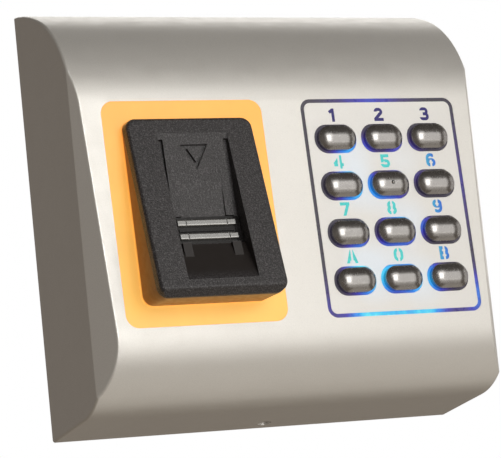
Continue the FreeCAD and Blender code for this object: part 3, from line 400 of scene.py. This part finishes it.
def key_metal(name):
    """Dark satin chrome with fine wear; the foot of a key has painted shadow and a painted glow of
    the pad's light.
    """
    net = Net(name, Metallic=1.0)
    # painted shade and painted glow of the pad's light on the foot of the key
    foot_shade_and_glow = net.span(net.along(FRONT_OUT, FRONT_ORIGIN), *KEY_FOOT_SHADE_AND_GLOW)
    glow = net.ramp(lamp_field(net, KEY_LAMPS), *GLOW_STOPS)
    dark, rubbed, painted_shadow = (0.35, 0.340, 0.332), (0.42, 0.408, 0.398), (0.05, 0.05, 0.06)
    metal = net.mix(net.noise(1.6, 4.0), dark, rubbed)
    brushed = net.noise(0.12, 2.0, 0.6, (1, 4, 4))
    net.set(Base_Color=net.mix(foot_shade_and_glow, metal, painted_shadow), Emission_Color=glow,
            Emission_Strength=net.product(foot_shade_and_glow, FOOT_PAINTED_GLOW_STRENGTH),
            Roughness=net.patchy(0.7, 0.20, 0.28, 5.0),
            Normal=net.bump(brushed, 0.0006))
    return net.material


def amber_plastic(name):
    """Translucent amber: the flush panel has a painted glow, the pedestal a dim one and painted
    shade that darkens outwards.
    """
    net = Net(name, IOR=1.5, Coat_Weight=0.15, Coat_Roughness=0.15)
    rise = net.along(FRONT_OUT, FRONT_ORIGIN)
    up = net.along(FRONT_UP, FRONT_ORIGIN)
    panel = net.span(rise, *PANEL_RISE)
    # painted shade: the pedestal darkens from its foot towards the head; the flush panel gets a
    # painted glow
    shaded_pedestal = net.ramp(net.span(rise, *PEDESTAL_RISE), *PEDESTAL_SHADE_STOPS)
    cloud = net.patchy(9.0, 0.93, 1.06)
    lit = net.ramp(net.span(up, *PANEL_HEIGHT), *PANEL_STOPS)
    colour = net.mix(panel, shaded_pedestal, lit)
    strength = net.product(cloud, net.span(rise, *PANEL_RISE, PEDESTAL_GLOW, PANEL_GLOW))
    net.set(Base_Color=colour, Emission_Color=colour, Emission_Strength=strength,
            Roughness=net.patchy(1.4, 0.30, 0.42, 4.0),
            Normal=net.bump(net.noise(0.35, 2.0), 0.004))
    return net.material


def grained_black(name):
    """Black plastic with a spark-eroded grain, smooth on the lower floor of the finger channel."""
    net = Net(name, IOR=1.5)
    across = net.maths("ABSOLUTE", net.along(ACROSS, BEZEL_MIDDLE))
    up = net.along(HEAD_UP, HEAD_ORIGIN)
    out = net.along(HEAD_OUT, HEAD_ORIGIN)
    inside = net.product(net.span(across, *CHANNEL_SIDE), net.span(up, *CHANNEL_TOP),
                         net.span(up, *CHANNEL_FOOT), net.span(out, *CHANNEL_FACE))
    outside = net.maths("SUBTRACT", 1.0, inside)
    grain = net.product(net.noise(0.42, 3.0, 0.6), outside)
    speck = net.span(net.noise(0.30, 3.0, 0.65), 0.46, 0.66)
    pit, peak, smooth = (0.020, 0.018, 0.019), (0.100, 0.094, 0.097), (0.020, 0.016, 0.0145)
    skin = net.mix(net.product(speck, outside), pit, peak)
    rougher = net.product(outside, 0.02)
    net.set(Base_Color=net.mix(inside, skin, smooth),
            Roughness=net.maths("ADD", rougher, net.patchy(2.0, 0.34, 0.42)),
            Normal=net.bump(grain, 0.12))
    return net.material


def plain_plastic(name, colour, low=0.35, high=0.5, grain=0.5, depth=0.01):
    """Moulded plastic or rubber with a fine texture and slight unevenness."""
    net = Net(name)
    net.set(Base_Color=net.mix(net.noise(4.0, 4.0), shade(colour, 0.85), shade(colour, 1.15)),
            Roughness=net.patchy(1.0, low, high, 4.0),
            Normal=net.bump(net.noise(grain, 3.0), depth))
    return net.material


def bare_metal(name, colour, low=0.2, high=0.35, stretch=(1, 1, 1), depth=0.003):
    """Metal with fine scratches along one direction and uneven polish."""
    net = Net(name, Metallic=1.0)
    net.set(Base_Color=net.mix(net.noise(3.0, 4.0), shade(colour, 0.86), shade(colour, 1.08)),
            Roughness=net.patchy(0.8, low, high, 5.0),
            Normal=net.bump(net.noise(0.15, 3.0, 0.6, stretch), depth))
    return net.material


def spangled_steel(name):
    """Galvanised sheet with its crystal spangle."""
    net = Net(name, Metallic=1.0)
    crystal = net.make("ShaderNodeTexVoronoi",
                       (("Vector", net.place), ("Scale", 1 / (SPANGLE * MM)))).outputs["Color"]
    dull, bright = (0.52, 0.53, 0.54), (0.62, 0.63, 0.64)
    net.set(Base_Color=net.ramp(crystal, (0.2, dull), (0.8, bright)),
            Roughness=net.patchy(2.0, 0.32, 0.48, 5.0),
            Normal=net.bump(net.noise(0.3, 3.0), 0.006))
    return net.material


def circuit_board(name):
    """Green solder mask over a faint grid of tracks."""
    net = Net(name, Coat_Weight=0.4, Coat_Roughness=0.15)
    tracks = net.make("ShaderNodeTexBrick", (
        ("Vector", net.place), ("Scale", 1 / (TRACK_GRID * MM)), ("Mortar Size", 0.02),
        ("Color1", (0.010, 0.085, 0.035, 1)), ("Color2", (0.012, 0.10, 0.042, 1)),
        ("Mortar", (0.02, 0.16, 0.07, 1)))).outputs["Color"]
    net.set(Base_Color=tracks, Roughness=net.patchy(1.5, 0.3, 0.45),
            Normal=net.bump(net.noise(0.6, 3.0), 0.01))
    return net.material


def lamp_body(name, colour):
    """Small lamp with a glowing face."""
    net = Net(name)
    net.set(Base_Color=net.mix(net.noise(0.5), shade(colour, 0.9), colour),
            Emission_Color=(*colour, 1), Emission_Strength=LAMP_STRENGTH,
            Roughness=net.patchy(0.3, 0.2, 0.4))
    return net.material


def housing_paint(name):
    """Silver paint of the die-cast cover."""
    return silver_paint(name, (0.80, 0.785, 0.745), 0.11, 0.55, 0.36, 0.44).material


# CAD slot: its finish; plain ones give colour, roughness range, grain or stretch, bump depth
FINISHES = {
    "silver_housing": housing_paint,
    "silver_plate": lit_plate,
    "legend_light": lit_legends,
    "blue_light_guide": lit_outline,
    "dome_steel": lambda n: bare_metal(n, (0.62, 0.60, 0.56)),
    "circuit_board": circuit_board,
    "blue_lamp": lambda n: lamp_body(n, (0.05, 0.4, 0.9)),
    "amber_lamp": lambda n: lamp_body(n, (0.95, 0.5, 0.1)),
    "screw_steel": lambda n: bare_metal(n, (0.55, 0.54, 0.52)),
    "amber_plastic": amber_plastic,
    "black_grained_plastic": grained_black,
    "sensor_black": lambda n: plain_plastic(n, (0.014, 0.013, 0.013), 0.12, 0.25, 0.3, 0.002),
    "sensor_chrome": lambda n: bare_metal(n, (0.46, 0.46, 0.45), 0.24, 0.28, (0.05, 1, 1), 0.0001),
    "black_rubber": lambda n: plain_plastic(n, (0.02, 0.02, 0.02), 0.6, 0.8, 0.4, 0.02),
    "flex_film": lambda n: plain_plastic(n, (0.45, 0.24, 0.05), 0.25, 0.4, 0.6, 0.004),
    "chip_black": lambda n: plain_plastic(n, (0.02, 0.02, 0.022), 0.45, 0.6),
    "connector_plastic": lambda n: plain_plastic(n, (0.70, 0.66, 0.56)),
    "relay_plastic": lambda n: plain_plastic(n, (0.02, 0.05, 0.13)),
    "capacitor_can": lambda n: bare_metal(n, (0.35, 0.36, 0.38)),
    "terminal_green": lambda n: plain_plastic(n, (0.05, 0.28, 0.12)),
    "wall_plate_steel": spangled_steel,
    "key_metal": key_metal,
    "key_pad_rubber": lit_rubber,
}


def dress_nodes():
    """Gives every carried-over node its finish, slot by slot."""
    made = {}
    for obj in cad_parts.values():
        for holder in obj.material_slots:
            slot = holder.material.name.split(".")[0]
            if slot not in made:
                made[slot] = FINISHES[slot](slot + "_finish")
            holder.material = made[slot]


def make_floor():
    """Pale floor far below the terminal, lit on its own so that it never reads as a dark disc."""
    mesh = bpy.data.meshes.new("floor")
    build = bmesh.new()
    bmesh.ops.create_circle(build, cap_ends=True, segments=FLOOR_SIDES, radius=FLOOR_RADIUS)
    build.to_mesh(mesh)
    build.free()
    floor = bpy.data.objects.new("floor", mesh)
    floor.location = (0, 0, FLOOR_Z)
    floor.visible_diffuse = False
    floor.visible_glossy = False
    floor.visible_shadow = False
    bpy.context.scene.collection.objects.link(floor)
    net = Net("floor_paper", Roughness=0.9)
    paper = net.mix(net.noise(60.0), (0.80, 0.795, 0.78), (0.84, 0.835, 0.825))
    net.set(Base_Color=paper, Emission_Color=paper, Emission_Strength=FLOOR_GLOW)
    mesh.materials.append(net.material)


make_camera()
make_world()
for box_name, values in SOFTBOXES.items():
    make_softbox(box_name, *values)
dress_nodes()
make_floor()
bpy.context.scene.view_settings.view_transform = "Standard"
